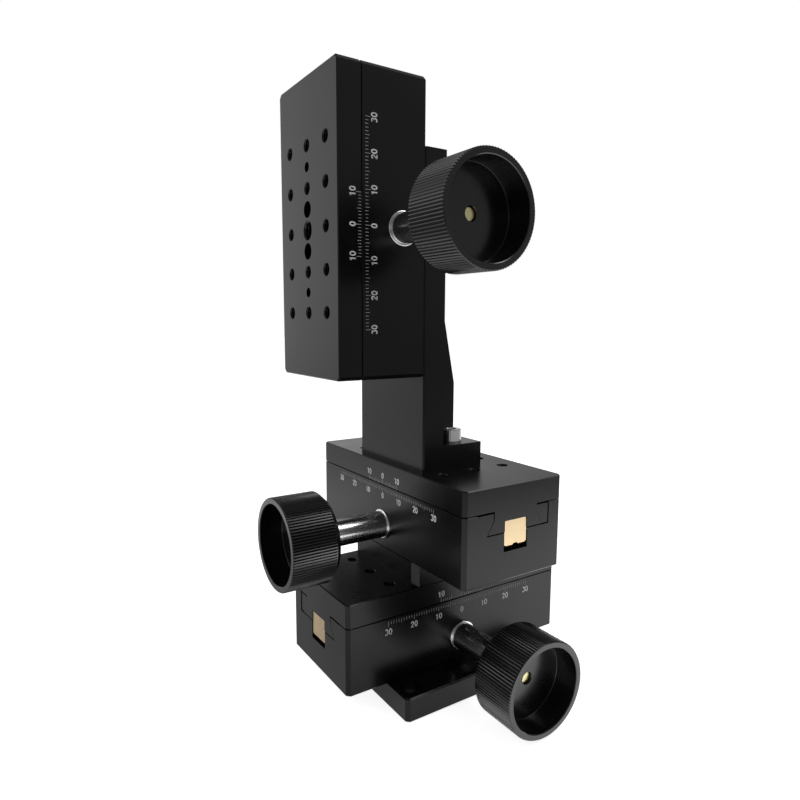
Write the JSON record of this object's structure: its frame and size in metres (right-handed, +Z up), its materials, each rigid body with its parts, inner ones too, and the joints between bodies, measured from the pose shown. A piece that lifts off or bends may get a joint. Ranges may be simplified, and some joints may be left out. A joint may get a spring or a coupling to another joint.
{
  "type": "vertical translation stage",
  "caption": "Vertical dovetail stage on an angle bracket above crossed horizontal stages, each with a rack-and-pinion drive, a knurled cup knob and an engraved millimetre scale.",
  "frame": {"origin": "centre of the base plate's underside", "axes": "+Z up, +X along the lower slide, +Y along the middle slide away from the lower knob; the vertical table faces -X"},
  "size_m": [0.105, 0.105, 0.197],
  "materials": {
    "black_anodised": "bead-blasted, satin black anodised",
    "polished_steel": "turned and polished",
    "brass": "machined, bright",
    "blackened_steel": "blackened"
  },
  "bodies": {
    "base": {"base_plate": "black_anodised", "lower_body": "black_anodised", "lower_body_screws": "blackened_steel", "lower_gib": "black_anodised", "lower_gib_screws": "blackened_steel", "lower_sleeve": "polished_steel", "lower_sleeve_screw": "blackened_steel"},
    "lower_carriage": {"lower_table": "black_anodised", "lower_rack": "brass", "lower_rack_screws": "blackened_steel", "spacer_plate": "black_anodised", "spacer_screws": "blackened_steel", "middle_body": "black_anodised", "middle_body_screws": "blackened_steel", "middle_gib": "black_anodised", "middle_gib_screws": "blackened_steel", "middle_sleeve": "polished_steel", "middle_sleeve_screw": "blackened_steel"},
    "middle_carriage": {"middle_table": "black_anodised", "middle_rack": "brass", "middle_rack_screws": "blackened_steel", "angle_bracket": "black_anodised", "bracket_screws": "polished_steel", "vertical_body": "black_anodised", "vertical_body_screws": "blackened_steel", "vertical_gib": "black_anodised", "vertical_gib_screws": "blackened_steel", "vertical_sleeve": "polished_steel", "vertical_sleeve_screw": "blackened_steel"},
    "vertical_carriage": {"vertical_table": "black_anodised", "vertical_rack": "brass", "vertical_rack_screws": "blackened_steel"},
    "lower_handwheel": {"lower_knob": "black_anodised", "lower_knob_screw": "blackened_steel", "lower_pinion_shaft": "brass", "lower_washer": "polished_steel"},
    "middle_handwheel": {"middle_knob": "black_anodised", "middle_knob_screw": "blackened_steel", "middle_pinion_shaft": "brass", "middle_washer": "polished_steel"},
    "vertical_handwheel": {"vertical_knob": "black_anodised", "vertical_knob_screw": "blackened_steel", "vertical_pinion_shaft": "brass", "vertical_washer": "polished_steel"}
  },
  "joints": [
    {"name": "lower_slide", "type": "slide", "parent": "base", "child": "lower_carriage", "axis": [1, 0, 0], "range_m": [-0.03, 0.03]},
    {"name": "middle_slide", "type": "slide", "parent": "lower_carriage", "child": "middle_carriage", "axis": [0, -1, 0], "range_m": [-0.03, 0.03]},
    {"name": "vertical_slide", "type": "slide", "parent": "middle_carriage", "child": "vertical_carriage", "axis": [0, 0, 1], "range_m": [-0.03, 0.03]},
    {"name": "lower_knob_turn", "type": "hinge", "parent": "base", "child": "lower_handwheel", "pos_m": [0, -0.052, 0.01625], "axis": [0, 1, 0], "range_deg": [-575, 575]},
    {"name": "middle_knob_turn", "type": "hinge", "parent": "lower_carriage", "child": "middle_handwheel", "pos_m": [-0.052, 0, 0.05425], "axis": [1, 0, 0], "range_deg": [-575, 575]},
    {"name": "vertical_knob_turn", "type": "hinge", "parent": "middle_carriage", "child": "vertical_handwheel", "pos_m": [-0.02525, -0.052, 0.152], "axis": [0, 1, 0], "range_deg": [-575, 575]}
  ],
  "couplings": [
    {"joint": "lower_knob_turn", "follows": "lower_slide", "rad_per_m": 333.33},
    {"joint": "middle_knob_turn", "follows": "middle_slide", "rad_per_m": 333.33},
    {"joint": "vertical_knob_turn", "follows": "vertical_slide", "rad_per_m": 333.33}
  ]
}
